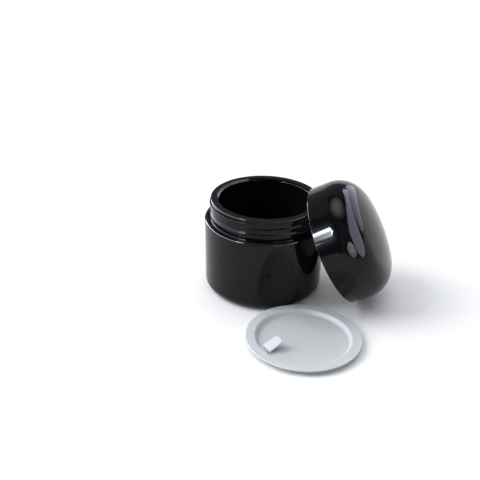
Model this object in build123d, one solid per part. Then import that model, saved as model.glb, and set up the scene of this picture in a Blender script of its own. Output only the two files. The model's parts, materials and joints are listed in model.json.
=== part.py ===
"""Cosmetic cream jar: a double-wall plastic jar, its domed screw lid and its sealing disc.

The open jar stands on its base at the origin.  The lid leans beside it: its skirt stands on
the surface and its upper edge rests at the neck's rim.  The sealing disc lies flat in front,
half under the rounded corner of the base.
All sizes are in millimetres, with +Z up.
"""

import os
from math import asin, cos, degrees, radians, sin, sqrt

from build123d import *

# --- body of the jar ---------------------------------------------------------------------
BODY_RADIUS = 30.0          # outside, at the shoulder
BODY_DRAFT = 0.8            # how much smaller the radius is at the base
BODY_HEIGHT = 37.2          # surface to shoulder
BASE_ROUNDING = 5.0         # outside corner between the base and the wall
SHELL_WALL = 1.8
SHOULDER_ROUNDING = 0.5     # outer edge of the shoulder
LEDGE_DEPTH = 3.6           # shoulder down to the ledge that carries the cup
LEDGE_WIDTH = 1.1           # how far the ledge reaches inwards
LEDGE_HEIGHT = 1.6

# --- inner cup and neck ------------------------------------------------------------------
NECK_HEIGHT = 10.6          # shoulder to the top of the rim
NECK_WALL = 3.8             # mouth to the root of the thread
RIM_REACH = 0.3             # how far the rim stands out from the neck
RIM_HEIGHT = 1.1
RIM_ROUNDING = 0.35         # outer edge of the rim's top
MOUTH_BEVEL = 0.9           # slope inside the rim
CUP_DEPTH = 32.0            # rim to the floor of the cup
CUP_WALL = 1.5
CUP_ROUNDING = 6.0          # inside corner between the cup's wall and floor
FLANGE_THICKNESS = 1.6      # plate between the neck and the shell
FLANGE_DROP = 0.4           # the flange lies this much under the shoulder
FOOT_BEAD_HEIGHT = 1.3      # bead round the foot of the neck
FOOT_BEAD_REACH = 0.6
FOOT_BEAD_RISE = 2.1        # shoulder to the bead's underside

# --- thread, shared by the neck and the lid ----------------------------------------------
THREAD_PITCH = 2.8
THREAD_TURNS = 1.05
THREAD_DEPTH = 0.8
THREAD_ROOT_WIDTH = 1.4
THREAD_CREST_WIDTH = 0.6
THREAD_TOP = 1.9            # rim down to the middle of the thread's upper end
THREAD_END_BEARING = 271.0  # where the neck's thread runs out at its upper end, degrees
THREAD_CLEARANCE = 0.4      # from a crest to the root that it runs in
THREAD_STEPS = 27           # sections along the thread
THREAD_FADE = 3             # steps in which an end rises to its full depth
THREAD_TIP = 0.4            # height of the very end, in steps of that rise

# --- lid ---------------------------------------------------------------------------------
LID_SKIRT_HEIGHT = 9.0      # straight part of the outside
LID_CORNER = 13.5           # radius between the skirt and the crown
LID_CROWN_RISE = 2.0        # apex above the top of that corner's circle
LID_WALL = 1.1
LID_EDGE_ROUNDING = 0.4
LID_SEAM = 1.1              # gap between the closed lid and the shoulder
CAP_WALL = 0.8              # inner cap's skirt
CAP_TOP_THICKNESS = 1.2
CAP_RECESS = 0.8            # inner cap's edge above the lid's edge
LINER_THICKNESS = 1.0
BEAD_HEIGHT = 0.6           # snap bead that holds the liner up
BEAD_REACH = 0.6

# --- sealing disc and its tab ------------------------------------------------------------
DISC_INSET = 0.25           # disc's edge inside the rim's edge
DISC_HEIGHT = 2.9
DISC_THICKNESS = 0.8
DISC_WALL = 0.9
DISC_MOUTH_CLEARANCE = 0.4  # plug of the disc inside the mouth
DISC_EDGE_ROUNDING = 0.25
PLUG_ROUNDING = 0.8         # bottom edge of the plug
RECESS_SLOPE = 0.4          # how much wider the recess is at its top
RECESS_LIP_ROUNDING = 0.7
RECESS_FOOT_ROUNDING = 0.6
TAB_LENGTH = 8.0
TAB_WIDTH = 5.8
TAB_THICKNESS = 0.8
TAB_SETBACK = 2.2           # recess wall to the tab's fold line
TAB_BEARING = 220.0         # direction from the middle of the disc to the fold line, degrees
TAB_FOLD = 28.0             # how far the tab stands up, degrees
PAD_HEIGHT = 1.2            # block on the disc that the tab folds from

# --- where the loose pieces lie ----------------------------------------------------------
LEAN = 61.0                 # tilt of the lid's axis from the vertical, degrees
DISC_BEARING = -60.0        # direction from the jar to the disc, degrees

# --- clearances --------------------------------------------------------------------------
CLEARANCE = 0.3             # between pieces that move past each other
FIT = 0.05                  # between pieces pressed or snapped together
EDGE_BREAK = 0.15           # small rounding on the other moulded edges

# --- worked out --------------------------------------------------------------------------
BASE_RADIUS = BODY_RADIUS - BODY_DRAFT
NECK_TOP = BODY_HEIGHT + NECK_HEIGHT
SHELL_INSIDE = BODY_RADIUS - SHELL_WALL
LEDGE_TOP = BODY_HEIGHT - LEDGE_DEPTH
FLANGE_TOP = BODY_HEIGHT - FLANGE_DROP
FLANGE_RADIUS = SHELL_INSIDE - FIT
LID_BORE = BODY_RADIUS - LID_WALL
LID_HEIGHT = LID_SKIRT_HEIGHT + LID_CORNER + LID_CROWN_RISE
CAP_OUTSIDE = LID_BORE - FIT
CAP_ROOT = CAP_OUTSIDE - CAP_WALL
CAP_CREST = CAP_ROOT - THREAD_DEPTH
NECK_CREST = CAP_ROOT - THREAD_CLEARANCE
NECK_RADIUS = NECK_CREST - THREAD_DEPTH
RIM_RADIUS = NECK_RADIUS + RIM_REACH
MOUTH_RADIUS = NECK_RADIUS - NECK_WALL
CUP_FLOOR = NECK_TOP - CUP_DEPTH
LINER_BOTTOM = NECK_HEIGHT - LID_SEAM
LINER_TOP = LINER_BOTTOM + LINER_THICKNESS
LINER_RADIUS = CAP_ROOT - CLEARANCE
CAP_CEILING = LINER_TOP + FIT
PLUG_RADIUS = MOUTH_RADIUS - DISC_MOUTH_CLEARANCE
RECESS_RADIUS = PLUG_RADIUS - DISC_WALL
DISC_RADIUS = RIM_RADIUS - DISC_INSET
TAB_BASE_DISTANCE = RECESS_RADIUS - TAB_SETBACK
TAB_AXIS_HEIGHT = DISC_THICKNESS + TAB_THICKNESS / 2 + CLEARANCE


def lean_height():
    """Height of the middle of the leaning lid's opening when its edge touches the surface."""
    edge = BODY_RADIUS - LID_EDGE_ROUNDING
    return edge * sin(radians(LEAN)) + LID_EDGE_ROUNDING * (1 - cos(radians(LEAN)))


def lean_distance():
    """Distance of that middle from the jar's axis when the lid first meets the jar.

    The lid's edge is tried at its bore and at its outside, against each step of the jar,
    and its liner against the rim.
    """
    across = sin(radians(LEAN))
    up = cos(radians(LEAN))
    steps = (
        (NECK_TOP, RIM_RADIUS),
        (NECK_TOP - RIM_HEIGHT, NECK_CREST),
        (BODY_HEIGHT, BODY_RADIUS),
    )
    rim_along_axis = RIM_RADIUS * across + NECK_TOP * up
    liner_along_axis = lean_height() * up + LINER_BOTTOM - CLEARANCE
    distances = [(rim_along_axis - liner_along_axis) / across]
    for edge in (LID_BORE, BODY_RADIUS):
        for height, radius in steps:
            rise = min((height - lean_height()) / across, edge)
            reach_squared = (radius + CLEARANCE) ** 2 - edge**2 + rise**2
            if reach_squared > 0:
                distances.append(sqrt(reach_squared) + rise * up)
    return max(distances)


def disc_distance():
    """Distance of the disc from the jar's axis when its edge meets the base's rounding."""
    below = max(0, BASE_ROUNDING - DISC_HEIGHT)
    corner = BASE_RADIUS - BASE_ROUNDING + sqrt(BASE_ROUNDING**2 - below**2)
    draft = BODY_DRAFT * DISC_HEIGHT / BODY_HEIGHT
    return corner + draft + CLEARANCE + DISC_RADIUS


LID_X = lean_distance()
LID_Z = lean_height()
DISC_X = disc_distance() * cos(radians(DISC_BEARING))
DISC_Y = disc_distance() * sin(radians(DISC_BEARING))


def outline(corners):
    """Closed face in the XZ plane; each corner is (radius, height, rounding)."""
    count = len(corners)
    edges = []
    exits = []
    entries = []
    for index, (x, z, rounding) in enumerate(corners):
        here = Vector(x, 0, z)
        before = Vector(corners[index - 1][0], 0, corners[index - 1][1])
        after = Vector(corners[(index + 1) % count][0], 0, corners[(index + 1) % count][1])
        to_before = (before - here).normalized()
        to_after = (after - here).normalized()
        half_angle = radians(to_before.get_angle(to_after)) / 2
        if rounding == 0:
            entries.append(here)
            exits.append(here)
            continue
        setback = rounding / (sin(half_angle) / cos(half_angle))
        middle = here + (to_before + to_after).normalized() * (rounding / sin(half_angle) - rounding)
        entries.append(here + to_before * setback)
        exits.append(here + to_after * setback)
        edges.append(ThreePointArc(entries[-1], middle, exits[-1]))
    for index in range(count):
        start = exits[index]
        end = entries[(index + 1) % count]
        if (end - start).length > 1e-6:
            edges.append(Line(start, end))
    return make_face(edges)


def turned(corners):
    """Solid of revolution about Z from an outline."""
    return revolve(outline(corners), Axis.Z, 360)


def thread(root, crest, low_end, end_bearing, sink):
    """Right-hand ridge with faded ends, from its low end up to the bearing of its top end."""
    facing = 1 if crest > root else -1
    sections = []
    for step in range(THREAD_STEPS + 1):
        share = step / THREAD_STEPS
        bearing = end_bearing - 360 * THREAD_TURNS * (1 - share)
        height = low_end + THREAD_PITCH * THREAD_TURNS * share
        strength = min(1, (min(step, THREAD_STEPS - step) + THREAD_TIP) / THREAD_FADE)
        reach = abs(crest - root) * strength + sink
        half_root = THREAD_ROOT_WIDTH / 2
        half_crest = THREAD_CREST_WIDTH / 2
        start = root - facing * sink
        section = Polyline(
            (start, 0, height - half_root),
            (start + facing * reach, 0, height - half_crest),
            (start + facing * reach, 0, height + half_crest),
            (start, 0, height + half_root),
            close=True,
        )
        sections.append(make_face(Rot(0, 0, bearing) * section))
    return loft(sections)


def outer_shell():
    """Thick outer wall of the jar: a drafted cup with a ledge inside its shoulder."""
    inside_base = BASE_RADIUS - SHELL_WALL
    ledge_inside = SHELL_INSIDE - LEDGE_WIDTH
    return turned([
        (0, 0, 0),
        (BASE_RADIUS, 0, BASE_ROUNDING),
        (BODY_RADIUS, BODY_HEIGHT, SHOULDER_ROUNDING),
        (SHELL_INSIDE, BODY_HEIGHT, EDGE_BREAK),
        (SHELL_INSIDE, LEDGE_TOP, 0),
        (ledge_inside, LEDGE_TOP, 0),
        (ledge_inside, LEDGE_TOP - LEDGE_HEIGHT, 0),
        (SHELL_INSIDE, LEDGE_TOP - LEDGE_HEIGHT - LEDGE_WIDTH, 0),
        (inside_base, SHELL_WALL, BASE_ROUNDING - SHELL_WALL),
        (0, SHELL_WALL, 0),
    ])


def inner_cup():
    """Cup that holds the cream, with the shoulder flange and the threaded neck."""
    cup_outside = MOUTH_RADIUS + CUP_WALL
    skirt_inside = FLANGE_RADIUS - LEDGE_WIDTH
    flange_bottom = FLANGE_TOP - FLANGE_THICKNESS
    bead_low = BODY_HEIGHT + FOOT_BEAD_RISE
    bead_high = bead_low + FOOT_BEAD_HEIGHT
    bead_radius = NECK_RADIUS + FOOT_BEAD_REACH
    cup = turned([
        (0, CUP_FLOOR, 0),
        (MOUTH_RADIUS, CUP_FLOOR, CUP_ROUNDING),
        (MOUTH_RADIUS, NECK_TOP - MOUTH_BEVEL, 0),
        (MOUTH_RADIUS + MOUTH_BEVEL, NECK_TOP, EDGE_BREAK),
        (RIM_RADIUS, NECK_TOP, RIM_ROUNDING),
        (RIM_RADIUS, NECK_TOP - RIM_HEIGHT, EDGE_BREAK),
        (NECK_RADIUS, NECK_TOP - RIM_HEIGHT - RIM_REACH, 0),
        (NECK_RADIUS, bead_high + FOOT_BEAD_REACH / 2, 0),
        (bead_radius, bead_high, EDGE_BREAK),
        (bead_radius, bead_low, EDGE_BREAK),
        (NECK_RADIUS, bead_low, 0),
        (NECK_RADIUS, FLANGE_TOP, 0),
        (FLANGE_RADIUS, FLANGE_TOP, EDGE_BREAK),
        (FLANGE_RADIUS, LEDGE_TOP, 0),
        (skirt_inside, LEDGE_TOP, 0),
        (skirt_inside, flange_bottom, 0),
        (cup_outside, flange_bottom, 0),
        (cup_outside, CUP_FLOOR - CUP_WALL, CUP_ROUNDING + CUP_WALL),
        (0, CUP_FLOOR - CUP_WALL, 0),
    ])
    low_end = NECK_TOP - THREAD_TOP - THREAD_PITCH * THREAD_TURNS
    return cup + thread(NECK_RADIUS, NECK_CREST, low_end, THREAD_END_BEARING, CLEARANCE)


def crown_edges(radius, foot, corner, apex):
    """Side, corner arc and crown arc of a dome's section, each tangent to the next."""
    offset = radius - corner
    drop = apex - LID_SKIRT_HEIGHT
    crown = (offset**2 + drop**2 - corner**2) / (2 * (drop - corner))
    centre_z = apex - crown
    turn = degrees(asin(offset / (crown - corner)))

    def on_corner(angle):
        tilt = radians(angle)
        return (offset + corner * cos(tilt), 0, LID_SKIRT_HEIGHT + corner * sin(tilt))

    def on_crown(angle):
        return (crown * sin(radians(angle)), 0, centre_z + crown * cos(radians(angle)))

    side = Line((radius, 0, foot), (radius, 0, LID_SKIRT_HEIGHT))
    corner_arc = ThreePointArc(on_corner(0), on_corner((90 - turn) / 2), on_corner(90 - turn))
    crown_arc = ThreePointArc(on_crown(turn), on_crown(turn / 2), (0, 0, apex))
    return [side, corner_arc, crown_arc]


def lid_shell():
    """Domed outer skin of the lid, upright, with its opening in the plane Z = 0."""
    round_edge = LID_EDGE_ROUNDING
    outside = crown_edges(BODY_RADIUS, round_edge, LID_CORNER, LID_HEIGHT)
    inside = crown_edges(LID_BORE, 0, LID_CORNER - LID_WALL, LID_HEIGHT - LID_WALL)
    slant = round_edge * (1 - cos(radians(45)))
    edge = ThreePointArc(
        (BODY_RADIUS, 0, round_edge),
        (BODY_RADIUS - slant, 0, slant),
        (BODY_RADIUS - round_edge, 0, 0),
    )
    foot = Line((BODY_RADIUS - round_edge, 0, 0), (LID_BORE, 0, 0))
    top = Line((0, 0, LID_HEIGHT), (0, 0, LID_HEIGHT - LID_WALL))
    return revolve(make_face(outside + inside + [edge, foot, top]), Axis.Z, 360)


def lid_inside_radius(height):
    """Radius of the lid's inside at a height in its straight part or its corner."""
    corner = LID_CORNER - LID_WALL
    above = max(0, height - LID_SKIRT_HEIGHT)
    return LID_BORE - corner + sqrt(corner**2 - above**2)


def lid_inner_cap():
    """Threaded cap pressed into the lid, with a snap bead under the liner."""
    top = CAP_CEILING + CAP_TOP_THICKNESS
    bead_top = LINER_BOTTOM - FIT
    bead_radius = CAP_ROOT - BEAD_REACH
    cap = turned([
        (0, CAP_CEILING, 0),
        (CAP_ROOT, CAP_CEILING, 0),
        (CAP_ROOT, bead_top, 0),
        (bead_radius, bead_top - BEAD_HEIGHT / 3, 0),
        (bead_radius, bead_top - BEAD_HEIGHT * 2 / 3, 0),
        (CAP_ROOT, bead_top - BEAD_HEIGHT, 0),
        (CAP_ROOT, CAP_RECESS, EDGE_BREAK),
        (CAP_OUTSIDE, CAP_RECESS, EDGE_BREAK),
        (CAP_OUTSIDE, LID_SKIRT_HEIGHT, 0),
        (lid_inside_radius(top) - FIT, top, 0),
        (0, top, 0),
    ])
    low_end = LINER_BOTTOM - THREAD_TOP - THREAD_PITCH * THREAD_TURNS
    half_turn = 180
    sink = min(CLEARANCE, CAP_WALL / 2)
    return cap + thread(CAP_ROOT, CAP_CREST, low_end, THREAD_END_BEARING - half_turn, sink)


def lid_liner():
    """Foam wad that seals on the rim."""
    return Pos(0, 0, LINER_BOTTOM) * Cylinder(
        LINER_RADIUS, LINER_THICKNESS, align=(Align.CENTER, Align.CENTER, Align.MIN)
    )


def leaning(shape):
    """Place a piece of the upright lid in its leaning position."""
    return Pos(LID_X, 0, LID_Z) * Rot(0, LEAN, 0) * shape


def radial_frame():
    """Frame on the fold line, with X towards the middle of the disc."""
    bearing = radians(TAB_BEARING)
    fold_x = DISC_X + TAB_BASE_DISTANCE * cos(bearing)
    fold_y = DISC_Y + TAB_BASE_DISTANCE * sin(bearing)
    return Pos(fold_x, fold_y, TAB_AXIS_HEIGHT) * Rot(0, 0, TAB_BEARING + 180)


def sealing_disc():
    """Dished disc: a plug that fits the mouth, a flange for the rim and the tab's block."""
    flange_bottom = DISC_HEIGHT - DISC_THICKNESS
    dish = turned([
        (0, 0, 0),
        (PLUG_RADIUS, 0, PLUG_ROUNDING),
        (PLUG_RADIUS, flange_bottom, EDGE_BREAK),
        (DISC_RADIUS, flange_bottom, DISC_EDGE_ROUNDING),
        (DISC_RADIUS, DISC_HEIGHT, DISC_EDGE_ROUNDING),
        (RECESS_RADIUS + RECESS_SLOPE, DISC_HEIGHT, RECESS_LIP_ROUNDING),
        (RECESS_RADIUS, DISC_THICKNESS, RECESS_FOOT_ROUNDING),
        (0, DISC_THICKNESS, 0),
    ])
    pad_back = RECESS_RADIUS - TAB_BASE_DISTANCE
    pad_front = TAB_THICKNESS / 2 + CLEARANCE
    pad_bottom = DISC_THICKNESS - FIT - TAB_AXIS_HEIGHT
    pad = Box(
        pad_back - pad_front,
        TAB_WIDTH,
        PAD_HEIGHT + FIT,
        align=(Align.MIN, Align.CENTER, Align.MIN),
    )
    block = radial_frame() * Pos(-pad_back, 0, pad_bottom) * pad
    return Pos(DISC_X, DISC_Y, 0) * dish + block


def disc_tab():
    """Pull tab with a rounded tip, folded up about its round back edge."""
    half_width = TAB_WIDTH / 2
    half_thickness = TAB_THICKNESS / 2
    blade_length = TAB_LENGTH - half_width
    size = (blade_length, TAB_WIDTH, TAB_THICKNESS)
    blade = Box(*size, align=(Align.MIN, Align.CENTER, Align.CENTER))
    tip = Pos(blade_length, 0, 0) * Cylinder(half_width, TAB_THICKNESS)
    back = Rot(90, 0, 0) * Cylinder(half_thickness, TAB_WIDTH)
    return radial_frame() * Rot(0, -TAB_FOLD, 0) * (blade + tip + back)


def build():
    """All nodes by name, in place."""
    return {
        "outer_shell": outer_shell(),
        "inner_cup": inner_cup(),
        "lid_shell": leaning(lid_shell()),
        "lid_inner_cap": leaning(lid_inner_cap()),
        "lid_liner": leaning(lid_liner()),
        "sealing_disc": sealing_disc(),
        "disc_tab": disc_tab(),
    }


if __name__ == "__main__":
    os.makedirs("parts", exist_ok=True)
    for name, solid in build().items():
        export_step(solid, f"parts/{name}.step")
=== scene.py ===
"""Looks of a double-wall cream jar: gloss black jar, domed lid, foam liner and milky sealing disc."""

import json
import math

import bmesh
import bpy
from mathutils import Matrix, Vector


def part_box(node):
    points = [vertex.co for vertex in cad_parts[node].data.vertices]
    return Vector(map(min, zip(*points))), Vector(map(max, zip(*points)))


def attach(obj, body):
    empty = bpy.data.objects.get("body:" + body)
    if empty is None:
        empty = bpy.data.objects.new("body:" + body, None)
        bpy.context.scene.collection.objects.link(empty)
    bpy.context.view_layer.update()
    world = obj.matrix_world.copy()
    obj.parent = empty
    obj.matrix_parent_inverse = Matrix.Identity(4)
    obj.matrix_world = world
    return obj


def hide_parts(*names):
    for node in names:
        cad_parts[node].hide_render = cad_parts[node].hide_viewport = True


bl_info = {
    "name": "Cream Jar",
    "version": (1, 0, 0),
    "blender": (4, 5, 0),
    "location": "View3D > Sidebar > Cream Jar",
    "description": "Builds the visible pieces and finishes of a double-wall cream jar",
    "category": "Object",
}

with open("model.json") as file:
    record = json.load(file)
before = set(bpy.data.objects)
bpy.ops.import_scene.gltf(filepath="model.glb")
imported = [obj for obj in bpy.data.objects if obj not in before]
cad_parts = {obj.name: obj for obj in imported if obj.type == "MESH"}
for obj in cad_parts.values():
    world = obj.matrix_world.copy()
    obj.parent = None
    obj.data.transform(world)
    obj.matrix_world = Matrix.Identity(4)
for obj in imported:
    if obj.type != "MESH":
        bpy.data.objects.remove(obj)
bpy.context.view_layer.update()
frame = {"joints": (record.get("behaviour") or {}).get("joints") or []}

MM = 0.001
UPRIGHT = Matrix.Identity(4)

# shapes
SEGMENTS = 192              # steps round a turned piece
ARC_STEP = 0.35 * MM        # length of a step along a rounding
LEAST_ROUNDING = 0.06 * MM  # every moulded edge has at least this
MOST_ROUNDING = 0.48        # share of the shorter side that a rounding may take up
STRAIGHT = 1e-6             # a smaller bend, in radians, gets no rounding
ON_AXIS = 1e-7              # a smaller radius is a point on the axis
FINE_EDGE = 0.12 * MM       # roundings of the moulded edges, from the sharpest to the softest
CRISP_EDGE = 0.15 * MM
SMALL_EDGE = 0.2 * MM
EASY_EDGE = 0.25 * MM
SOFT_EDGE = 0.3 * MM
HIDDEN_EDGE = 0.1 * MM      # rounding of an edge inside a joint of two mouldings
BEVEL_STEPS = 4             # steps round an edge of the tab and its block
PRESS_FIT = 0.05 * MM       # room between pieces that are pressed together
THREAD_SINK = 0.3 * MM      # how far a thread's root lies inside the wall
THREAD_CREST = 0.16 * MM    # rounding of a thread's crest
THREAD_RAMP = 16            # steps over which the ends of a thread fade out
THREAD_TAIL = 0.35          # share of its width that a thread keeps at its ends
TAB_GAP = 0.3 * MM          # room between the tab and the block that it folds from
TAB_ROOT_SINK = 0.05 * MM   # how far that block lies inside the disc's floor
TAB_ROOT_EDGE = 0.22 * MM
CORNER_STEPS = 8            # steps round a corner of the tab's tip

# floor and camera
FLOOR_RADIUS = 4.0
FLOOR_SIDES = 96
FLOOR_GAP = 0.02 * MM       # floor below the object, so that no faces coincide
SENSOR_WIDTH = 36           # millimetres
CAMERA_SHIFT = (-0.0042, -0.0070)
NEAREST = 0.01              # nearest distance that the camera sees

# lights as (bearing, elevation, spread) in degrees: bearing 0 is straight behind the object as
# the camera looks at it, 90 is to its right and -90 to its left
KEY_SUN = (-86, 37, 42)
FILL_SUN = (-6, 61, 80)
FRONT_SUN = (160, 52, 90)

# panels as (bearing, lowest, highest) in degrees, with the same bearings, on spheres round the lid
OVAL_PANEL = ((140, 1, 31), (172, 1, 31))
KEY_PANEL = ((-135, 19, 35), (-120, 19, 35))
HALO_PANEL = ((-165, -2, 56), (-90, -2, 56))
EDGE_PANEL = ((-137, 3, 18), (-118, 3, 22), (-36, 3, 23))
HIGH_PANEL = (
    (18, 34, 41), (27, 28, 46), (45, 40, 56), (65, 41, 62), (80, 35, 65), (90, 26, 64), (94, 17, 64),
    (109, 5, 63), (117, 3, 62), (125, 3, 58), (136, 12, 51), (141, 34, 48),
)
LOW_PANEL = (
    (19, 12, 24), (24, 4, 27), (37, 8, 35), (46, 8, 41), (57, 7, 43), (68, 12, 39), (76, 18, 31),
    (79, 22, 24),
)
PANEL_MIDDLE = Vector((0.042, -0.015, 0.050))
PANEL_DISTANCE = 1.0
FARTHER = 1.05              # the low panel, behind the high one
FARTHEST = 1.1              # the halo, behind the small bright panel
PANEL_STEP = 3              # degrees between the columns of a panel
PANEL_LEVELS = 8            # rows of faces in a panel
PANEL_MAP = "panel_shares"
OVERHEAD_MIDDLE = Vector((-0.07, 0.07, 1.0))
OVERHEAD_SIZE = 1.04
OVERHEAD_GLOW = 3.8

# tints of the panels and the sky
COOL = (0.79, 0.80, 1.0)
LAVENDER = (0.86, 0.81, 1.0)
PEARL = (0.92, 0.90, 1.0)
ICE = (0.86, 0.93, 1.0)
PALE_BLUE = (0.62, 0.80, 1.0)
SKY_BLUE = (0.82, 0.90, 1.0)
WHITE = (1.0, 1.0, 1.0)
BLACK = (0.0, 0.0, 0.0)


def length(name, description, default):
    """A distance property in metres, with its default given in millimetres."""
    return bpy.props.FloatProperty(
        name=name,
        description=description,
        default=default * MM,
        min=0,
        precision=5,
        unit="LENGTH",
        subtype="DISTANCE",
    )


def angle(name, description, default):
    """An angle property in radians, with its default given in degrees."""
    return bpy.props.FloatProperty(
        name=name,
        description=description,
        default=math.radians(default),
        unit="ROTATION",
        subtype="ANGLE",
    )


def amount(name, description, default, highest=1000):
    """A plain number property."""
    return bpy.props.FloatProperty(name=name, description=description, default=default, min=0, max=highest)


def colour(name, description, default):
    """A colour property in linear light."""
    return bpy.props.FloatVectorProperty(
        name=name, description=description, default=default, subtype="COLOR", size=3, min=0, max=1
    )


# --- sizes and colours that a user would change --------------------------------------------


class BodySizes(bpy.types.PropertyGroup):
    """Outer shell of the jar."""

    draft: length("Draft", "How much smaller the radius is at the base", 0.8)
    wall: length("Wall", "Thickness of the shell", 1.8)
    base_rounding: length("Base rounding", "Outside corner between base and wall", 5.0)
    shoulder_rounding: length("Shoulder rounding", "Outer edge of the shoulder", 1.0)
    base_recess: length("Base recess", "Depth of the hollow under the base", 0.5)
    base_ring: length("Base ring", "Width of the ring that the jar stands on", 5.0)
    ring_rounding: length("Ring rounding", "Inner edge of the base ring", 0.5)
    recess_rounding: length("Recess rounding", "Corner of the hollow under the base", 1.0)
    ledge_depth: length("Ledge depth", "Shoulder down to the ledge that carries the cup", 3.6)
    ledge_width: length("Ledge width", "How far the ledge stands in from the wall", 1.1)
    ledge_height: length("Ledge height", "Height of the ledge's inner face", 1.6)


class NeckSizes(bpy.types.PropertyGroup):
    """Inner cup, its neck and the thread that the lid shares."""

    neck_radius: length("Neck radius", "Neck at the root of its thread", 26.85)
    neck_wall: length("Neck wall", "Mouth to the root of the thread", 3.8)
    rim_reach: length("Rim reach", "How far the rim stands out", 0.3)
    rim_height: length("Rim height", "Height of the rim's edge", 1.1)
    rim_rounding: length("Rim rounding", "Outer edge of the rim's top", 0.55)
    bevel: length("Bevel", "Slope inside the rim", 0.9)
    cup_wall: length("Cup wall", "Thickness of the cup under the neck", 1.5)
    cup_rounding: length("Cup rounding", "Corner between the cup's wall and floor", 6.0)
    bead_rise: length("Bead rise", "Shoulder to the underside of the foot bead", 2.1)
    bead_height: length("Bead height", "Height of the foot bead", 1.3)
    bead_reach: length("Bead reach", "How far the foot bead stands out", 0.6)
    bead_rounding: length("Bead rounding", "Upper edge of the foot bead", 0.35)
    flange_drop: length("Flange drop", "Shoulder down to the top of the flange", 0.4)
    flange_thickness: length("Flange thickness", "Thickness of the flange that closes the shoulder", 1.6)
    pitch: length("Thread pitch", "Rise of the thread in one turn", 2.8)
    turns: amount("Thread turns", "Turns of the thread", 1.05, 4)
    depth: length("Thread depth", "Root to crest", 0.8)
    root_width: length("Thread root", "Width of the thread at its root", 1.4)
    crest_width: length("Thread crest", "Width of the thread at its crest", 0.6)
    top: length("Thread top", "Rim down to the thread's upper end", 1.9)
    end_bearing: angle("Thread end", "Where the thread runs out at its upper end", 271.0)


class LidSizes(bpy.types.PropertyGroup):
    """Domed lid, its inner cap and its liner."""

    skirt: length("Skirt", "Straight part of the outside", 9.0)
    corner: length("Corner", "Radius between skirt and crown", 13.5)
    crown_rise: length("Crown rise", "Apex above the corner's top", 2.0)
    wall: length("Wall", "Thickness of the lid's skin", 1.1)
    edge_rounding: length("Edge rounding", "Outer edge of the skirt", 0.4)
    cap_wall: length("Cap wall", "Thickness of the inner cap's skirt", 0.8)
    cap_recess: length("Cap recess", "Cap's edge above the lid's edge", 0.8)
    cap_top: length("Cap top", "Thickness of the inner cap's top", 1.2)
    bead: length("Snap bead", "Reach and height of the bead that holds the liner", 0.6)
    liner_radius: length("Liner radius", "Radius of the foam wad", 27.75)
    liner_height: length("Liner height", "Lid's edge to the face of the liner", 9.5)
    liner_thickness: length("Liner thickness", "Thickness of the foam wad", 1.0)
    liner_print: length("Liner print", "Depth of the ring that the rim presses in", 0.12)


class DiscSizes(bpy.types.PropertyGroup):
    """Sealing disc and its pull tab."""

    flange: length("Flange", "Thickness of floor and flange", 0.8)
    plug_radius: length("Plug radius", "Part that enters the mouth", 22.65)
    plug_wall: length("Plug wall", "Wall round the recess", 0.9)
    recess_slope: length("Recess slope", "How much wider the recess is at its top", 1.3)
    plug_rounding: length("Plug rounding", "Lower edge of the plug", 0.8)
    lip_rounding: length("Lip rounding", "Upper edge of the recess", 0.8)
    foot_rounding: length("Foot rounding", "Corner between the recess's wall and floor", 1.2)
    edge_rounding: length("Edge rounding", "Edges of the flange", 0.25)
    tab_length: length("Tab length", "Fold line to the tip", 8.0)
    tab_width: length("Tab width", "Width of the tab", 5.8)
    tab_thickness: length("Tab thickness", "Thickness of the tab", 0.8)
    tab_corner: length("Tab corner", "Rounding of the tip's corners", 1.7)
    tab_edge: length("Tab edge", "Rounding of the tab's edges", 0.2)
    tab_setback: length("Tab setback", "Recess wall to the fold line", 2.2)
    root_height: length("Root height", "Block that the tab folds from", 1.2)


class Finishes(bpy.types.PropertyGroup):
    """Colours and gloss of the plastics."""

    black: colour("Black", "Gloss black plastic", (0.0038, 0.0038, 0.0041))
    satin: colour("Satin black", "Paler places on the inner cap", (0.012, 0.012, 0.013))
    dust: colour("Dust", "Fine dust that lies on the gloss", (0.30, 0.30, 0.31))
    dust_share: amount("Dust share", "How many specks lie on the gloss", 0.35, 1)
    gloss: amount("Gloss", "Strength of the plastic's reflection", 0.18, 1)
    milky: colour("Milky", "Sealing disc", (0.545, 0.570, 0.590))
    tab_white: colour("Tab white", "Pull tab", (0.55, 0.58, 0.61))
    foam: colour("Foam", "Foam wad in the lid", (0.80, 0.80, 0.78))


class StageSettings(bpy.types.PropertyGroup):
    """Floor, light and camera."""

    floor_tone: amount("Floor tone", "How pale the floor is", 0.93, 1)
    sky: amount("Sky", "Strength of the backdrop", 1.1, 10)
    key_power: amount("Left light", "Strength of the soft light from the left", 2.4)
    fill_power: amount("High light", "Strength of the soft light from above and behind", 1.55)
    front_power: amount("Front light", "Strength of the weak light from the front", 0.35)
    edge_glow: amount("Edge glow", "Radiance of the low panel that draws bright edges", 34.0)
    key_glow: amount("Small panel glow", "Radiance of the small bright panel on the left", 190.0)
    window_glow: amount("Tall panel glow", "Radiance of the tall panels on the right", 7.0)
    camera_heading: angle("Camera heading", "Turn of the camera about the vertical", 10.92)
    camera_pitch: angle("Camera pitch", "How far the camera looks down", 27.56)
    camera_roll: angle("Camera roll", "Tilt of the camera about its view", 1.6)
    camera_lens: bpy.props.FloatProperty(
        name="Camera lens", description="Focal length in millimetres", default=63.5, min=1
    )
    camera_place: bpy.props.FloatVectorProperty(
        name="Camera place",
        description="Where the camera stands",
        default=(0.0605, -0.3726, 0.2226),
        unit="LENGTH",
        subtype="TRANSLATION",
    )


# --- shader maths --------------------------------------------------------------------------


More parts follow.
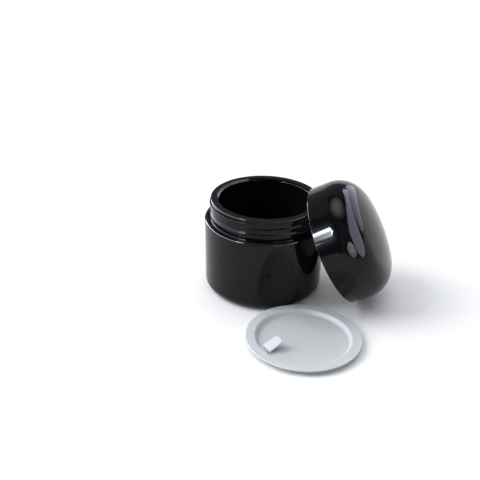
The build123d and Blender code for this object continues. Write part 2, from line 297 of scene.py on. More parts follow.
class Signal:
    """One socket of a node tree.  Arithmetic on it adds Math nodes."""

    def __init__(self, tree, socket=None):
        self.tree = tree
        self.socket = socket

    def node(self, kind, settings=None, inputs=None, output=0):
        """Add any node: its settings first, then values or links; return one output."""
        made = self.tree.nodes.new(kind)
        for key, value in (settings or {}).items():
            setattr(made, key, value)
        for key, value in (inputs or {}).items():
            socket = made.inputs[key]
            if isinstance(value, Signal):
                self.tree.links.new(value.socket, socket)
            elif value is not None:
                socket.default_value = value
        return Signal(self.tree, made.outputs[output])

    def math(self, operation, first, second=None):
        """Add a Math node."""
        return self.node("ShaderNodeMath", {"operation": operation}, {0: first, 1: second})

    def mix(self, factor, first, second):
        """Colour between two colours."""
        return self.node("ShaderNodeMix", {"data_type": "RGBA"}, {0: factor, 6: first, 7: second}, 2)

    def clamped(self):
        """The same value, kept from 0 to 1."""
        return self.node("ShaderNodeClamp", None, {"Value": self})

    def __abs__(self):
        return self.math("ABSOLUTE", self)

    def __add__(self, other):
        return self.math("ADD", self, other)

    def __radd__(self, other):
        return self.math("ADD", other, self)

    def __sub__(self, other):
        return self.math("SUBTRACT", self, other)

    def __rsub__(self, other):
        return self.math("SUBTRACT", other, self)

    def __mul__(self, other):
        return self.math("MULTIPLY", self, other)

    def __rmul__(self, other):
        return self.math("MULTIPLY", other, self)

    def __pow__(self, other):
        return self.math("POWER", self, other)

    def __lt__(self, other):
        return self.math("LESS_THAN", self, other)


def fade(signal, start, end):
    """1 beyond the end, 0 beyond the start, and a smooth step between the two."""
    inputs = {"Value": signal, "From Min": start, "From Max": end}
    return signal.node("ShaderNodeMapRange", {"interpolation_type": "SMOOTHSTEP"}, inputs)


class Finish:
    """A material under way: its shader, its place on the piece and some textures."""

    def __init__(self, name):
        self.material = bpy.data.materials.new(name)
        self.material.use_nodes = True
        self.tree = self.material.node_tree
        self.tree.nodes.clear()
        self.start = Signal(self.tree)
        self.shader = self.tree.nodes.new("ShaderNodeBsdfPrincipled")
        output = self.tree.nodes.new("ShaderNodeOutputMaterial")
        self.tree.links.new(self.shader.outputs[0], output.inputs["Surface"])
        self.place = self.start.node("ShaderNodeTexCoord", output="Object")

    def noise(self, feature, detail):
        """Noise from 0 to 1 with features of that size in metres."""
        inputs = {"Vector": self.place, "Scale": 1 / feature, "Detail": detail}
        return self.start.node("ShaderNodeTexNoise", None, inputs)

    def specks(self, spacing, size, share):
        """Small round specks, 1 inside and 0 outside, in a share of the cells."""
        inputs = {"Vector": self.place, "Scale": 1 / spacing}
        distance = self.start.node("ShaderNodeTexVoronoi", None, inputs, "Distance")
        cell = self.start.node("ShaderNodeTexVoronoi", None, inputs, "Color")
        chance = self.start.node("ShaderNodeSeparateColor", None, {"Color": cell}, "Red")
        return (distance < size / spacing) * (chance < share)

    def bump(self, height, distance):
        """Surface normal from a height signal of that depth in metres."""
        return self.start.node("ShaderNodeBump", None, {"Height": height, "Distance": distance})

    def set(self, **values):
        """Set or link the shader's sockets; underscores stand for spaces."""
        for key, value in values.items():
            socket = self.shader.inputs[key.replace("_", " ")]
            if isinstance(value, Signal):
                self.tree.links.new(value.socket, socket)
            else:
                socket.default_value = value
        return self.material


def opaque(tone):
    """A colour with full alpha."""
    return (*tone, 1.0)


def gloss_black(name, finishes, roughness):
    """Polished black plastic: faint orange peel, handling haze and a few dust specks."""
    finish = Finish(name)
    haze = finish.noise(14 * MM, 3.0)
    peel = finish.noise(1.6 * MM, 1.0)
    dust = finish.specks(3.1 * MM, 0.10 * MM, finishes.dust_share)
    lint = finish.specks(7.3 * MM, 0.16 * MM, finishes.dust_share)
    dirt = (dust + lint).clamped()
    tone = finish.start.mix(dirt, opaque(finishes.black), opaque(finishes.dust))
    return finish.set(
        Base_Color=tone,
        Roughness=roughness + haze * 0.03 + dirt * 0.4,
        Normal=finish.bump(peel, 0.0008 * MM),
        Specular_IOR_Level=finishes.gloss,
    )


def satin_black(name, finishes):
    """Inner cap: black plastic with a fine moulded satin."""
    finish = Finish(name)
    grain = finish.noise(0.25 * MM, 2.0)
    haze = finish.noise(9 * MM, 2.0)
    return finish.set(
        Base_Color=finish.start.mix(haze, opaque(finishes.black), opaque(finishes.satin)),
        Roughness=0.24 + haze * 0.10 + grain * 0.08,
        Normal=finish.bump(grain, 0.004 * MM),
        Specular_IOR_Level=finishes.gloss,
    )


def milky_plastic(name, tone):
    """Soft polyethylene: milky, faintly cloudy, with a satin skin."""
    finish = Finish(name)
    cloud = finish.noise(6 * MM, 3.0)
    grain = finish.noise(0.35 * MM, 2.0)
    flow = finish.noise(22 * MM, 1.0)
    streaks = (cloud * 0.6 + flow * 0.4).clamped()
    darker = tuple(part * 0.965 for part in tone)
    finish.shader.subsurface_method = "RANDOM_WALK"
    return finish.set(
        Base_Color=finish.start.mix(streaks, opaque(darker), opaque(tone)),
        Roughness=0.42 + grain * 0.08 + cloud * 0.06,
        Normal=finish.bump(grain + cloud * 2.0, 0.006 * MM),
        Subsurface_Weight=0.7,
        Subsurface_Radius=(1.0, 1.0, 1.0),
        Subsurface_Scale=2.0 * MM,
        Specular_IOR_Level=0.25,
    )


def foam(name, finishes):
    """Closed-cell foam wad with fine pores, real stains and painted shade in the grooves between the
    pores.
    """
    finish = Finish(name)
    inputs = {"Vector": finish.place, "Scale": 1 / (0.22 * MM)}
    pores = finish.start.node("ShaderNodeTexVoronoi", None, inputs, "Distance")
    stain = finish.noise(8 * MM, 3.0)
    # painted shade: the colour darkens in the low grooves between the pores, where the bump is lowest; the
    # stain noise is real soiling
    stain_and_pore_shade = (pores * 0.7 + stain * 0.4).clamped()
    darker = tuple(part * 0.86 for part in finishes.foam)
    return finish.set(
        Base_Color=finish.start.mix(stain_and_pore_shade, opaque(finishes.foam), opaque(darker)),
        Roughness=0.78 + stain * 0.12,
        Normal=finish.bump(1 - pores, 0.03 * MM),
        Specular_IOR_Level=0.3,
    )


def floor_paper(settings):
    """Plain pale studio floor."""
    finish = Finish("floor_paper")
    fibre = finish.noise(1.5 * MM, 3.0)
    tone = (settings.floor_tone,) * 3
    darker = (settings.floor_tone * 0.995,) * 3
    return finish.set(
        Base_Color=finish.start.mix(fibre, opaque(darker), opaque(tone)),
        Roughness=0.95,
        Specular_IOR_Level=0.0,
    )


# --- turned shapes -------------------------------------------------------------------------


def arc(centre, radius, start, end, facing=1):
    """Points and normals along an arc in degrees; facing is -1 for an inside."""
    span = math.radians(end - start)
    steps = max(4, math.ceil(abs(span) * radius / ARC_STEP))
    made = []
    for step in range(steps + 1):
        turn = math.radians(start) + span * step / steps
        out, up = math.cos(turn), math.sin(turn)
        made.append(((centre[0] + radius * out, centre[1] + radius * up), (out * facing, up * facing)))
    return made


def rounded(corners):
    """Points and outward normals of a section; each corner is (radius, height, rounding)."""
    places = [Vector(corner[:2]) for corner in corners]
    area = sum(a.x * b.y - b.x * a.y for a, b in zip(places, places[1:] + places[:1]))
    outside = 1 if area > 0 else -1
    made = []

    def add(point, tangent):
        made.append((tuple(point), (tangent.y * outside, -tangent.x * outside)))

    add(places[0], (places[1] - places[0]).normalized())
    for before, here, after, corner in zip(places, places[1:], places[2:], corners[1:]):
        arriving = (here - before).normalized()
        leaving = (after - here).normalized()
        turn = arriving.x * leaving.y - arriving.y * leaving.x
        bend = math.atan2(turn, arriving.dot(leaving))
        if abs(bend) < STRAIGHT:
            continue
        half = math.tan(abs(bend) / 2)
        room = MOST_ROUNDING * min((here - before).length, (after - here).length) / half
        radius = min(max(corner[2], LEAST_ROUNDING), room)
        side = Vector((-arriving.y, arriving.x)) * math.copysign(1, bend)
        centre = here - arriving * radius * half + side * radius
        steps = max(4, math.ceil(abs(bend) * radius / ARC_STEP))
        for step in range(steps + 1):
            spin = Matrix.Rotation(bend * step / steps, 2)
            add(centre - spin @ side * radius, spin @ arriving)
    add(places[-1], (places[-1] - places[-2]).normalized())
    return made


def mesh_piece(name, points, faces, normals):
    """A smooth mesh object with the given normals."""
    mesh = bpy.data.meshes.new(name)
    mesh.from_pydata(points, [], faces)
    mesh.shade_smooth()
    mesh.normals_split_custom_set_from_vertices(normals)
    return placed(name, mesh)


def shaped(name, shape, place=UPRIGHT):
    """An object whose mesh is a bmesh, moved to its place."""
    mesh = bpy.data.meshes.new(name)
    shape.to_mesh(mesh)
    shape.free()
    mesh.transform(place)
    return placed(name, mesh)


def placed(name, data):
    """An object in the scene, with that mesh, light or camera."""
    made = bpy.data.objects.new(name, data)
    bpy.context.scene.collection.objects.link(made)
    return made


def turned(name, section, place=UPRIGHT):
    """A piece turned about its axis from a section of points and normals."""
    points, normals, rings = [], [], []
    aim = place.to_3x3()
    for (radius, height), (out, up) in section:
        count = SEGMENTS if radius > ON_AXIS else 1
        rings.append(range(len(points), len(points) + count))
        for step in range(count):
            bearing = 2 * math.pi * step / SEGMENTS
            across, along = math.cos(bearing), math.sin(bearing)
            points.append(place @ Vector((radius * across, radius * along, height)))
            normals.append(aim @ Vector((out * across, out * along, up)))
    (first, facing), (second, _) = section[1], section[2]
    ahead = (second[1] - first[1]) * facing[0] - (second[0] - first[0]) * facing[1]
    faces = []
    for low, high in zip(rings, rings[1:]):
        for step in range(SEGMENTS):
            after = (step + 1) % SEGMENTS
            below = (low[step % len(low)], low[after % len(low)])
            above = (high[after % len(high)], high[step % len(high)])
            corners = list(dict.fromkeys(below + above))
            if len(corners) > 2:
                faces.append(corners if ahead > 0 else corners[::-1])
    return mesh_piece(name, points, faces, normals)


def thread(name, sizes, root, reach, top, end_bearing, place=UPRIGHT):
    """Helical ridge with ends that fade into the wall; a negative reach faces inwards."""
    facing = math.copysign(1, reach)
    steps = round(SEGMENTS * sizes.turns)
    outline = rounded([
        (-THREAD_SINK, -sizes.root_width / 2, 0),
        (abs(reach), -sizes.crest_width / 2, THREAD_CREST),
        (abs(reach), sizes.crest_width / 2, THREAD_CREST),
        (-THREAD_SINK, sizes.root_width / 2, 0),
    ])
    points, normals, faces = [], [], []
    aim = place.to_3x3()
    for step in range(steps + 1):
        share = step / steps
        bearing = end_bearing - 2 * math.pi * sizes.turns * (1 - share)
        height = top - sizes.pitch * sizes.turns * (1 - share)
        ramp = min(1, min(step, steps - step) / THREAD_RAMP)
        rise = ramp * ramp * (3 - 2 * ramp)
        across, along = math.cos(bearing), math.sin(bearing)
        for (depth, level), (out, up) in outline:
            radius = root + facing * (depth if depth < 0 else depth * rise)
            spread = level * (THREAD_TAIL + (1 - THREAD_TAIL) * rise)
            points.append(place @ Vector((radius * across, radius * along, height + spread)))
            normals.append(aim @ Vector((facing * out * across, facing * out * along, up)))
    width = len(outline)
    for step in range(steps):
        for index in range(width - 1):
            start = step * width + index
            corners = [start, start + 1, start + width + 1, start + width]
            faces.append(corners[::-1] if facing > 0 else corners)
    return mesh_piece(name, points, faces, normals)


def block(name, first, second, rounding, place, every_edge):
    """A block between two matching outlines, with rounded ends or all its edges rounded."""
    shape = bmesh.new()
    top = [shape.verts.new(point) for point in first]
    bottom = [shape.verts.new(point) for point in second]
    ends = (shape.faces.new(top), shape.faces.new(bottom[::-1]))
    for index in range(len(top)):
        after = (index + 1) % len(top)
        shape.faces.new((top[after], top[index], bottom[index], bottom[after]))
    bmesh.ops.recalc_face_normals(shape, faces=shape.faces)
    edges = list(shape.edges) if every_edge else [edge for end in ends for edge in end.edges]
    bmesh.ops.bevel(
        shape, geom=edges, offset=rounding, segments=BEVEL_STEPS, profile=0.5, affect="EDGES"
    )
    made = shaped(name, shape, place)
    made.data.shade_smooth()
    return made


def finished(piece, body, material, node):
    """Give a piece its body, slot and material, and hide the node that it stands for."""
    piece.data.materials.append(material)
    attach(piece, body)
    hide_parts(node)


def radius_of(node, axis):
    """Radius of a turned node, from its width along x or y."""
    low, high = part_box(node)
    return (getattr(high, axis) - getattr(low, axis)) / 2


def joint(name):
    """A joint of the frame, with its place in metres and its axis."""
    found = next(j for j in frame["joints"] if j["name"] == name)
    return Vector(found.get("pos_m", (0, 0, 0))), Vector(found["axis"]).normalized()


def lid_place():
    """Matrix from the upright lid, opening at height 0, to where it leans."""
    place, axis = joint("lid_turn")
    return Matrix.Translation(place) @ Matrix.Rotation(math.atan2(axis.x, axis.z), 4, "Y")


def disc_middle():
    """Middle of the sealing disc on the surface."""
    low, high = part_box("sealing_disc")
    return Vector(((low.x + high.x) / 2, (low.y + high.y) / 2, low.z))


def tab_place():
    """Matrix whose origin is on the fold line, with X towards the disc's middle and Z up."""
    place, _ = joint("tab_fold")
    inward = disc_middle() - place
    return Matrix.Translation(place) @ Matrix.Rotation(math.atan2(inward.y, inward.x), 4, "Z")


# --- operators: one for each piece or group ------------------------------------------------


class CREAM_JAR_OT_outer_shell(bpy.types.Operator):
    """Build the thick outer wall of the jar"""

    bl_idname = "cream_jar.outer_shell"
    bl_label = "Outer shell"

    def execute(self, context):
        sizes = context.scene.jar_body
        _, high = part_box("outer_shell")
        radius = high.x
        base = radius - sizes.draft
        inside = radius - sizes.wall
        hollow = base - sizes.base_rounding - sizes.base_ring
        ledge = high.z - sizes.ledge_depth
        ledge_foot = ledge - sizes.ledge_height
        section = rounded([
            (0, sizes.base_recess, 0),
            (hollow - sizes.base_recess * 2, sizes.base_recess, sizes.recess_rounding),
            (hollow, 0, sizes.ring_rounding),
            (base, 0, sizes.base_rounding),
            (radius, high.z, sizes.shoulder_rounding),
            (inside, high.z, CRISP_EDGE),
            (inside, ledge, HIDDEN_EDGE),
            (inside - sizes.ledge_width, ledge, HIDDEN_EDGE),
            (inside - sizes.ledge_width, ledge_foot, SOFT_EDGE),
            (inside, ledge_foot - sizes.ledge_width, SOFT_EDGE),
            (base - sizes.wall, sizes.wall, sizes.base_rounding - sizes.wall),
            (0, sizes.wall, 0),
        ])
        material = gloss_black("body_gloss_black", context.scene.jar_finishes, 0.05)
        finished(turned("shell_wall", section), "jar", material, "outer_shell")
        return {"FINISHED"}


class CREAM_JAR_OT_inner_cup(bpy.types.Operator):
    """Build the cup with its neck, rim, foot bead and thread"""

    bl_idname = "cream_jar.inner_cup"
    bl_label = "Inner cup"

    def execute(self, context):
        sizes = context.scene.jar_neck
        body = context.scene.jar_body
        low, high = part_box("inner_cup")
        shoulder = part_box("outer_shell")[1].z
        flange = high.x
        neck = sizes.neck_radius
        mouth = neck - sizes.neck_wall
        rim = neck + sizes.rim_reach
        bead = neck + sizes.bead_reach
        bead_low = shoulder + sizes.bead_rise
        bead_high = bead_low + sizes.bead_height
        floor = low.z + sizes.cup_wall
        flange_top = shoulder - sizes.flange_drop
        flange_low = flange_top - sizes.flange_thickness
        ledge = shoulder - body.ledge_depth
        section = rounded([
            (0, floor, 0),
            (mouth, floor, sizes.cup_rounding),
            (mouth, high.z - sizes.bevel, EASY_EDGE),
            (mouth + sizes.bevel, high.z, SMALL_EDGE),
            (rim, high.z, sizes.rim_rounding),
            (rim, high.z - sizes.rim_height, FINE_EDGE),
            (neck, high.z - sizes.rim_height - sizes.rim_reach, SMALL_EDGE),
            (neck, bead_high + sizes.bead_reach / 2, EASY_EDGE),
            (bead, bead_high, sizes.bead_rounding),
            (bead, bead_low, SMALL_EDGE),
            (neck, bead_low, CRISP_EDGE),
            (neck, flange_top, SOFT_EDGE),
            (flange, flange_top, CRISP_EDGE),
            (flange, ledge, HIDDEN_EDGE),
            (flange - body.ledge_width, ledge, HIDDEN_EDGE),
            (flange - body.ledge_width, flange_low, HIDDEN_EDGE),
            (mouth + sizes.cup_wall, flange_low, SOFT_EDGE),
            (mouth + sizes.cup_wall, low.z, sizes.cup_rounding + sizes.cup_wall),
            (0, low.z, 0),
        ])
        material = gloss_black("cup_gloss_black", context.scene.jar_finishes, 0.06)
        finished(turned("cup_and_neck", section), "jar", material, "inner_cup")
        upper_end = high.z - sizes.top
        ridge = thread("neck_thread", sizes, neck, sizes.depth, upper_end, sizes.end_bearing)
        finished(ridge, "jar", material, "inner_cup")
        return {"FINISHED"}


class CREAM_JAR_OT_lid_shell(bpy.types.Operator):
    """Build the domed skin of the lid"""

    bl_idname = "cream_jar.lid_shell"
    bl_label = "Lid shell"

    def execute(self, context):
        sizes = context.scene.jar_lid
        radius = radius_of("lid_shell", "y")
        bore = radius - sizes.wall
        offset = radius - sizes.corner
        drop = sizes.corner + sizes.crown_rise
        crown = (offset**2 + drop**2 - sizes.corner**2) / (2 * sizes.crown_rise)
        meeting = 90 - math.degrees(math.asin(offset / (crown - sizes.corner)))
        apex = sizes.skirt + drop
        edge = sizes.edge_rounding
        section = (
            arc((0, apex - crown), crown, 90, meeting)
            + arc((offset, sizes.skirt), sizes.corner, meeting, 0)[1:]
            + arc((radius - edge, edge), edge, 0, -90)
            + arc((bore + CRISP_EDGE, CRISP_EDGE), CRISP_EDGE, -90, -180)
            + arc((offset, sizes.skirt), sizes.corner - sizes.wall, 0, meeting, -1)
            + arc((0, apex - crown), crown - sizes.wall, meeting, 90, -1)[1:]
        )
        # the ends lie exactly on the axis
        section[0] = ((0, apex), (0, 1))
        section[-1] = ((0, apex - sizes.wall), (0, -1))
        material = gloss_black("lid_gloss_black", context.scene.jar_finishes, 0.055)
        finished(turned("lid_dome", section, lid_place()), "lid", material, "lid_shell")
        return {"FINISHED"}


class CREAM_JAR_OT_lid_inner_cap(bpy.types.Operator):
    """Build the threaded cap inside the lid"""

    bl_idname = "cream_jar.lid_inner_cap"
    bl_label = "Lid inner cap"

    def execute(self, context):
        sizes = context.scene.jar_lid
        neck = context.scene.jar_neck
        outside = radius_of("lid_inner_cap", "y")
        root = outside - sizes.cap_wall
        ceiling = sizes.liner_height + sizes.liner_thickness + PRESS_FIT
        top = ceiling + sizes.cap_top
        bead_top = sizes.liner_height - PRESS_FIT
        corner = sizes.corner - sizes.wall
        shoulder = outside - corner + math.sqrt(corner**2 - (top - sizes.skirt) ** 2)
        section = rounded([
            (0, ceiling, 0),
            (root, ceiling, HIDDEN_EDGE),
            (root, bead_top, HIDDEN_EDGE),
            (root - sizes.bead, bead_top - sizes.bead / 3, FINE_EDGE),
            (root - sizes.bead, bead_top - sizes.bead * 2 / 3, FINE_EDGE),
            (root, bead_top - sizes.bead, SMALL_EDGE),
            (root, sizes.cap_recess, SMALL_EDGE),
            (outside, sizes.cap_recess, SMALL_EDGE),
            (outside, sizes.skirt, SOFT_EDGE),
            (shoulder, top, SOFT_EDGE),
            (0, top, 0),
        ])
        material = satin_black("cap_satin_black", context.scene.jar_finishes)
        place = lid_place()
        finished(turned("cap_skirt", section, place), "lid", material, "lid_inner_cap")
        upper_end = sizes.liner_height - neck.top
        half_a_turn_on = neck.end_bearing - math.pi
        ridge = thread("cap_thread", neck, root, -neck.depth, upper_end, half_a_turn_on, place)
        finished(ridge, "lid", material, "lid_inner_cap")
        return {"FINISHED"}


class CREAM_JAR_OT_lid_liner(bpy.types.Operator):
    """Build the foam wad with the print of the rim"""

    bl_idname = "cream_jar.lid_liner"
    bl_label = "Lid liner"

    def execute(self, context):
        sizes = context.scene.jar_lid
        neck = context.scene.jar_neck
        face = sizes.liner_height
        pressed = face + sizes.liner_print
        back = face + sizes.liner_thickness
        print_in = neck.neck_radius - neck.neck_wall + neck.bevel
        print_out = neck.neck_radius + neck.rim_reach
        edge = EASY_EDGE
        outer_face = face + edge / 5
        section = rounded([
            (0, face, 0),
            (print_in - edge, face, edge),
            (print_in, pressed, edge),
            (print_out, pressed, edge),
            (print_out + edge, outer_face, LEAST_ROUNDING),
            (sizes.liner_radius, outer_face, edge),
            (sizes.liner_radius, back, edge),
            (0, back, 0),
        ])
        material = foam("liner_foam_white", context.scene.jar_finishes)
        finished(turned("foam_wad", section, lid_place()), "liner", material, "lid_liner")
        return {"FINISHED"}


class CREAM_JAR_OT_sealing_disc(bpy.types.Operator):
    """Build the dished sealing disc and the block that its tab folds from"""

    bl_idname = "cream_jar.sealing_disc"
    bl_label = "Sealing disc"

    def execute(self, context):
        sizes = context.scene.jar_disc
        low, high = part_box("sealing_disc")
        radius = radius_of("sealing_disc", "x")
        height = high.z - low.z
        recess = sizes.plug_radius - sizes.plug_wall
        section = rounded([
            (0, 0, 0),
            (sizes.plug_radius, 0, sizes.plug_rounding),
            (sizes.plug_radius, height - sizes.flange, CRISP_EDGE),
            (radius, height - sizes.flange, sizes.edge_rounding),
            (radius, height, sizes.edge_rounding),
            (recess + sizes.recess_slope / 2, height, sizes.lip_rounding),
            (recess - sizes.recess_slope / 2, sizes.flange, sizes.foot_rounding),
            (0, sizes.flange, 0),
        ])
        material = milky_plastic("disc_milky", context.scene.jar_finishes.milky)
        place = Matrix.Translation(disc_middle())
        finished(turned("dished_disc", section, place), "disc", material, "sealing_disc")
        finished(self.tab_root(sizes), "disc", material, "sealing_disc")
        return {"FINISHED"}

    def tab_root(self, sizes):
        """Low block between the recess wall and the fold line."""
        place = tab_place()
        floor = sizes.flange - place.translation.z - TAB_ROOT_SINK
        front = -sizes.tab_thickness / 2 - TAB_GAP
        back = -sizes.tab_setback
        half = sizes.tab_width / 2
        top = floor + sizes.root_height
        outline = ((back, floor), (front, floor), (front, top - EASY_EDGE), (back, top))
        left, right = ([(x, side, z) for x, z in outline] for side in (-half, half))
        return block("tab_root", left, right, TAB_ROOT_EDGE, place, every_edge=True)


class CREAM_JAR_OT_disc_tab(bpy.types.Operator):
    """Build the pull tab that stands up from the disc"""

    bl_idname = "cream_jar.disc_tab"
    bl_label = "Disc tab"

    def execute(self, context):
        sizes = context.scene.jar_disc
        _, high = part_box("disc_tab")
        half = sizes.tab_width / 2
        thick = sizes.tab_thickness
        place = tab_place()
        # the fold at which the rounded tip just reaches the top of its node
        rise = high.z - place.translation.z - thick / 2
        fold = math.asin(rise / (sizes.tab_length + FINE_EDGE))
        corner = sizes.tab_corner
        outline = [(0, -half), (0, half)]
        for start, side in ((90, 1), (0, -1)):
            for step in range(CORNER_STEPS + 1):
                turn = math.radians(start - 90 * step / CORNER_STEPS)
                x = sizes.tab_length - corner + corner * math.cos(turn)
                outline.append((x, side * (half - corner) + corner * math.sin(turn)))
        top, bottom = ([(x, y, z) for x, y in outline] for z in (thick / 2, -thick / 2))
        standing = place @ Matrix.Rotation(-fold, 4, "Y")
        tab = block("pull_tab", top, bottom, sizes.tab_edge, standing, every_edge=False)
        material = milky_plastic("tab_white", context.scene.jar_finishes.tab_white)
        finished(tab, "tab", material, "disc_tab")
        return {"FINISHED"}


# --- stage ---------------------------------------------------------------------------------


def crisp(u, v):
    """Even glow with clean edges; in every pattern u and v run from -1 to 1 over the panel."""
    return fade(abs(u), 1.0, 0.97) * fade(abs(v), 1.0, 0.92)


def ring(u, v):
    """Distance from the middle of a panel: 1 at the middle of each of its sides."""
    return (u * u + v * v) ** 0.5


def oval(u, v):
    """Oval glow, brighter at its top and with a hot middle."""
    edge = fade(ring(u, v), 1.0, 0.9)
    return edge * (0.72 + 0.28 * v) + fade(ring(u, v), 0.25, 0.0) * 1.2


def lit_frame(u, v):
    """Panel whose two sides and top glow most, dimming towards its foot."""
    soft_edge = fade(abs(u), 1.0, 0.85) * fade(abs(v), 1.0, 0.85)
    sides = 0.22 + fade(abs(u), 0.2, 0.6) * 0.6
    top = fade(v, 0.3, 0.6) * 0.5
    return soft_edge * (sides + top) * fade(v, -0.9, 0.9)


def halo(u, v):
    """Glow that dies away from the middle."""
    share = fade(ring(u, v), 1.0, 0.0)
    return share * share


def round_glow(u, v):
    """Round glow, soft to its edge."""
    return fade(ring(u, v), 1.0, 0.1)


class CREAM_JAR_OT_stage(bpy.types.Operator):
    """Build the floor, the soft light and the camera"""

    bl_idname = "cream_jar.stage"
    bl_label = "Stage"

    def execute(self, context):
        settings = context.scene.jar_stage
        context.scene.view_settings.view_transform = "Standard"
        self.heading = settings.camera_heading
        self.camera(settings)
        self.floor(settings)
        self.sky(context, settings)
        self.panels(settings)
        self.soft_light("key_light", *KEY_SUN, settings.key_power)
        self.soft_light("fill_light", *FILL_SUN, settings.fill_power)
        self.soft_light("front_light", *FRONT_SUN, settings.front_power)
        return {"FINISHED"}

    def way(self, bearing, elevation):
        """Unit vector towards a bearing and an elevation in degrees."""
        turn = self.heading - math.radians(bearing)
        rise = math.radians(elevation)
        level = math.cos(rise)
        return Vector((-math.sin(turn) * level, math.cos(turn) * level, math.sin(rise)))

    def floor(self, settings):
        """Large flat disc under the object."""
        shape = bmesh.new()
        bmesh.ops.create_circle(shape, cap_ends=True, radius=FLOOR_RADIUS, segments=FLOOR_SIDES)
        ground = shaped("studio_floor", shape, Matrix.Translation((0, 0, -FLOOR_GAP)))
        ground.data.materials.append(floor_paper(settings))

    def sky(self, context, settings):
        """Pale backdrop low down behind, a haze low down in front, and dimmer, bluer light elsewhere."""
        world = bpy.data.worlds.new("studio_sky")
        context.scene.world = world
        world.use_nodes = True
        tree = world.node_tree
        tree.nodes.clear()
        start = Signal(tree)
        place = start.node("ShaderNodeTexCoord", output="Generated")
        parts = [start.node("ShaderNodeSeparateXYZ", None, {"Vector": place}, axis) for axis in "XYZ"]
        across, behind, height = parts
        back = fade(behind, -0.25, 0.25)
        backdrop = fade(height, 0.34, 0.20) * back
        haze = fade(height, 0.12, 0.05) * (1 - back)
        left = fade(across, 0.1, -0.5)
        glow = (backdrop * 0.95 + haze * 0.7 + left * 0.10 + 0.20).clamped()
        hue = start.mix((backdrop + haze).clamped(), opaque(SKY_BLUE), opaque(WHITE))
        tone = start.mix(glow, opaque(BLACK), hue)
        shine = start.node("ShaderNodeBackground", None, {"Color": tone, "Strength": settings.sky})
        output = tree.nodes.new("ShaderNodeOutputWorld")
        tree.links.new(shine.socket, output.inputs["Surface"])

    def panels(self, settings):
        """Glowing panels round the lid and overhead."""
        tall, edge, key = settings.window_glow, settings.edge_glow, settings.key_glow
        self.panel("panel_high", HIGH_PANEL, crisp, tall, COOL)
        self.panel("panel_low", LOW_PANEL, crisp, tall / 2, LAVENDER, FARTHER)
        self.panel("panel_oval", OVAL_PANEL, oval, tall * 1.4, PEARL)
        self.panel("panel_left", EDGE_PANEL, crisp, edge, LAVENDER)
        self.panel("panel_key", KEY_PANEL, lit_frame, key, ICE)
        self.panel("panel_halo", HALO_PANEL, halo, key / 48, PALE_BLUE, FARTHEST)
        half = OVERHEAD_SIZE / 2
        corners = [[(OVERHEAD_MIDDLE + Vector((u, v, 0)) * half, u, v) for u in (-1, 1)] for v in (-1, 1)]
        self.glowing_sheet("panel_overhead", corners, round_glow, OVERHEAD_GLOW, WHITE)

    def panel(self, name, band, pattern, radiance, tint, distance=PANEL_DISTANCE):
        """Panel on a sphere of that radius, from a band of (bearing, lowest, highest) in degrees."""
        first, last = band[0][0], band[-1][0]
        levels = [2 * level / PANEL_LEVELS - 1 for level in range(PANEL_LEVELS + 1)]
        grid = []
        for near, far in zip(band, band[1:]):
            steps = max(1, round((far[0] - near[0]) / PANEL_STEP))
            for step in range(steps + (far is band[-1])):
                bearing, low, high = (a + (b - a) * step / steps for a, b in zip(near, far))
                u = 2 * (bearing - first) / (last - first) - 1
                column = []
                for v in levels:
                    rise = low + (high - low) * (v + 1) / 2
                    column.append((PANEL_MIDDLE + self.way(bearing, rise) * distance, u, v))
                grid.append(column)
        self.glowing_sheet(name, grid, pattern, radiance, tint)

    def glowing_sheet(self, name, grid, pattern, radiance, tint):
        """Sheet that only reflections show, from rows of (place, u, v) with u and v from -1 to 1."""
        shape = bmesh.new()
        shared = shape.loops.layers.uv.new(PANEL_MAP)
        rows = [[(shape.verts.new(place), (u, v)) for place, u, v in row] for row in grid]
        for row, after in zip(rows, rows[1:]):
            for level in range(len(row) - 1):
                corners = (row[level], after[level], after[level + 1], row[level + 1])
                face = shape.faces.new([corner for corner, _ in corners])
                for loop, (_, shares) in zip(face.loops, corners):
                    loop[shared].uv = shares
        lamp = shaped(name, shape)
        lamp.data.materials.append(self.glow(name, pattern, radiance, tint))
        lamp.visible_camera = False
        lamp.visible_diffuse = False
        lamp.visible_shadow = False
        lamp.visible_transmission = False

    def glow(self, name, pattern, radiance, tint):
        """Emission whose colour fades by a pattern over the panel."""
        material = bpy.data.materials.new(name)
        material.use_nodes = True
        tree = material.node_tree
        tree.nodes.clear()
        start = Signal(tree)
        place = start.node("ShaderNodeUVMap", {"uv_map": PANEL_MAP})
        u, v = (start.node("ShaderNodeSeparateXYZ", None, {"Vector": place}, axis) for axis in "XY")
        # a pattern may reach 2, and the Mix node's factor only 1
        tone = start.mix(pattern(u, v) * 0.5, opaque(BLACK), opaque(tint))
        shine = start.node("ShaderNodeEmission", None, {"Color": tone, "Strength": radiance * 2})
        output = tree.nodes.new("ShaderNodeOutputMaterial")
        tree.links.new(shine.socket, output.inputs["Surface"])
        return material

    def soft_light(self, name, bearing, elevation, spread, strength):
        """Even light from a wide patch of sky, which shows in no reflection."""
        way = self.way(bearing, elevation)
        aim = way.to_track_quat("Z", "Y").to_matrix().to_4x4()
        light = bpy.data.lights.new(name, "SUN")
        light.angle = math.radians(spread)
        light.energy = strength
        lamp = placed(name, light)
        lamp.matrix_world = Matrix.Translation(way) @ aim
        lamp.visible_camera = False
        lamp.visible_glossy = False

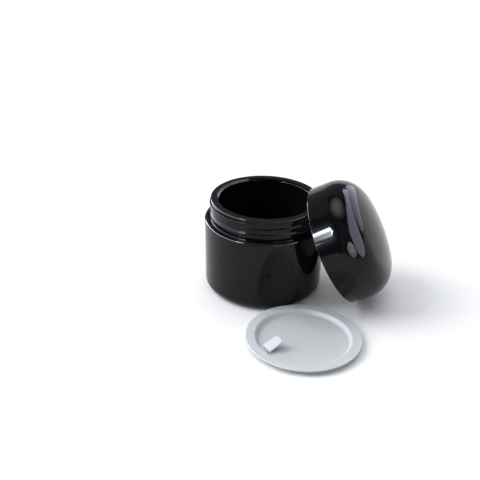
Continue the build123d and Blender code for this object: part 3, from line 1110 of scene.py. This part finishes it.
    def camera(self, settings):
        """Camera above and in front, looking down on the object."""
        data = bpy.data.cameras.new("studio_camera")
        data.lens = settings.camera_lens
        data.sensor_width = SENSOR_WIDTH
        data.shift_x, data.shift_y = CAMERA_SHIFT
        data.clip_start = NEAREST
        turn = Matrix.Rotation(settings.camera_heading, 4, "Z")
        tilt = Matrix.Rotation(math.pi / 2 - settings.camera_pitch, 4, "X")
        roll = Matrix.Rotation(settings.camera_roll, 4, "Z")
        camera = placed("studio_camera", data)
        camera.matrix_world = Matrix.Translation(settings.camera_place) @ turn @ tilt @ roll
        bpy.context.scene.camera = camera


# --- add-on --------------------------------------------------------------------------------


PIECES = (
    CREAM_JAR_OT_stage,
    CREAM_JAR_OT_outer_shell,
    CREAM_JAR_OT_inner_cup,
    CREAM_JAR_OT_lid_shell,
    CREAM_JAR_OT_lid_inner_cap,
    CREAM_JAR_OT_lid_liner,
    CREAM_JAR_OT_sealing_disc,
    CREAM_JAR_OT_disc_tab,
)
GROUPS = {
    "jar_body": BodySizes,
    "jar_neck": NeckSizes,
    "jar_lid": LidSizes,
    "jar_disc": DiscSizes,
    "jar_finishes": Finishes,
    "jar_stage": StageSettings,
}


class CREAM_JAR_PT_pieces(bpy.types.Panel):
    """Buttons for the pieces of the jar"""

    bl_idname = "CREAM_JAR_PT_pieces"
    bl_label = "Cream Jar"
    bl_space_type = "VIEW_3D"
    bl_region_type = "UI"
    bl_category = "Cream Jar"

    def draw(self, context):
        for piece in PIECES:
            self.layout.operator(piece.bl_idname)


def register():
    """Register the settings, the operators and the panel."""
    for attribute, group in GROUPS.items():
        bpy.utils.register_class(group)
        setattr(bpy.types.Scene, attribute, bpy.props.PointerProperty(type=group))
    for piece in PIECES:
        bpy.utils.register_class(piece)
    bpy.utils.register_class(CREAM_JAR_PT_pieces)


def unregister():
    """Take everything that register() added away again."""
    bpy.utils.unregister_class(CREAM_JAR_PT_pieces)
    for piece in reversed(PIECES):
        bpy.utils.unregister_class(piece)
    for attribute, group in reversed(GROUPS.items()):
        delattr(bpy.types.Scene, attribute)
        bpy.utils.unregister_class(group)


def main():
    """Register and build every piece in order."""
    register()
    bpy.ops.cream_jar.stage()
    bpy.ops.cream_jar.outer_shell()
    bpy.ops.cream_jar.inner_cup()
    bpy.ops.cream_jar.lid_shell()
    bpy.ops.cream_jar.lid_inner_cap()
    bpy.ops.cream_jar.lid_liner()
    bpy.ops.cream_jar.sealing_disc()
    bpy.ops.cream_jar.disc_tab()


if __name__ == "__main__":
    main()
